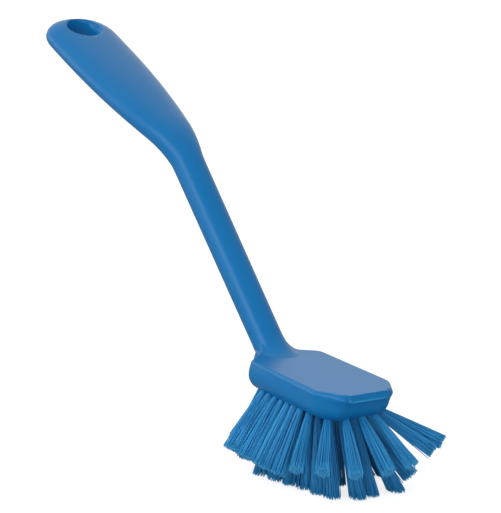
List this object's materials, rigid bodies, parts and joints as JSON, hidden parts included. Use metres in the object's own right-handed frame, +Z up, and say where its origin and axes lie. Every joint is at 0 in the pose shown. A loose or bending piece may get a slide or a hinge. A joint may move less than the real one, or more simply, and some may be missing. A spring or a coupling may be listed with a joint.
{
  "type": "scrub brush with scraper",
  "caption": "Hand scrub brush with an angled round neck, flat oval grip with a hanging hole, boat-shaped head with splayed tufts below and a bevelled scraping lip across its nose.",
  "frame": {"origin": "in the head's flat top face, midway across it and 33 mm behind the top edge of the scraping bevel", "axes": "+X towards the nose with the scraping lip, +Y across the head to the left, +Z up out of the head's top face, away from the bristles; the handle leans back towards -X and up"},
  "size_m": [0.2884, 0.0807, 0.1747],
  "materials": {
    "body_plastic": "moulded blue polypropylene with a soft gloss",
    "bristle_plastic": "blue polyester filaments, cut square at the tips"
  },
  "bodies": {
    "root": {"brush_body": "body_plastic", "outer_tuft_01": "bristle_plastic", "outer_tuft_02": "bristle_plastic", "outer_tuft_03": "bristle_plastic", "outer_tuft_04": "bristle_plastic", "outer_tuft_05": "bristle_plastic", "outer_tuft_06": "bristle_plastic", "outer_tuft_07": "bristle_plastic", "outer_tuft_08": "bristle_plastic", "outer_tuft_09": "bristle_plastic", "outer_tuft_10": "bristle_plastic", "outer_tuft_11": "bristle_plastic", "outer_tuft_12": "bristle_plastic", "outer_tuft_13": "bristle_plastic", "outer_tuft_14": "bristle_plastic", "outer_tuft_15": "bristle_plastic", "outer_tuft_16": "bristle_plastic", "outer_tuft_17": "bristle_plastic", "outer_tuft_18": "bristle_plastic", "outer_tuft_19": "bristle_plastic", "outer_tuft_20": "bristle_plastic", "outer_tuft_21": "bristle_plastic", "outer_tuft_22": "bristle_plastic", "outer_tuft_23": "bristle_plastic", "outer_tuft_24": "bristle_plastic", "outer_tuft_25": "bristle_plastic", "outer_tuft_26": "bristle_plastic", "inner_tuft_01": "bristle_plastic", "inner_tuft_02": "bristle_plastic", "inner_tuft_03": "bristle_plastic", "inner_tuft_04": "bristle_plastic", "inner_tuft_05": "bristle_plastic", "inner_tuft_06": "bristle_plastic", "inner_tuft_07": "bristle_plastic", "inner_tuft_08": "bristle_plastic", "inner_tuft_09": "bristle_plastic", "inner_tuft_10": "bristle_plastic", "inner_tuft_11": "bristle_plastic", "inner_tuft_12": "bristle_plastic", "inner_tuft_13": "bristle_plastic", "inner_tuft_14": "bristle_plastic", "inner_tuft_15": "bristle_plastic", "inner_tuft_16": "bristle_plastic", "middle_tuft_01": "bristle_plastic", "middle_tuft_02": "bristle_plastic", "middle_tuft_03": "bristle_plastic", "middle_tuft_04": "bristle_plastic"}
  },
  "joints": []
}
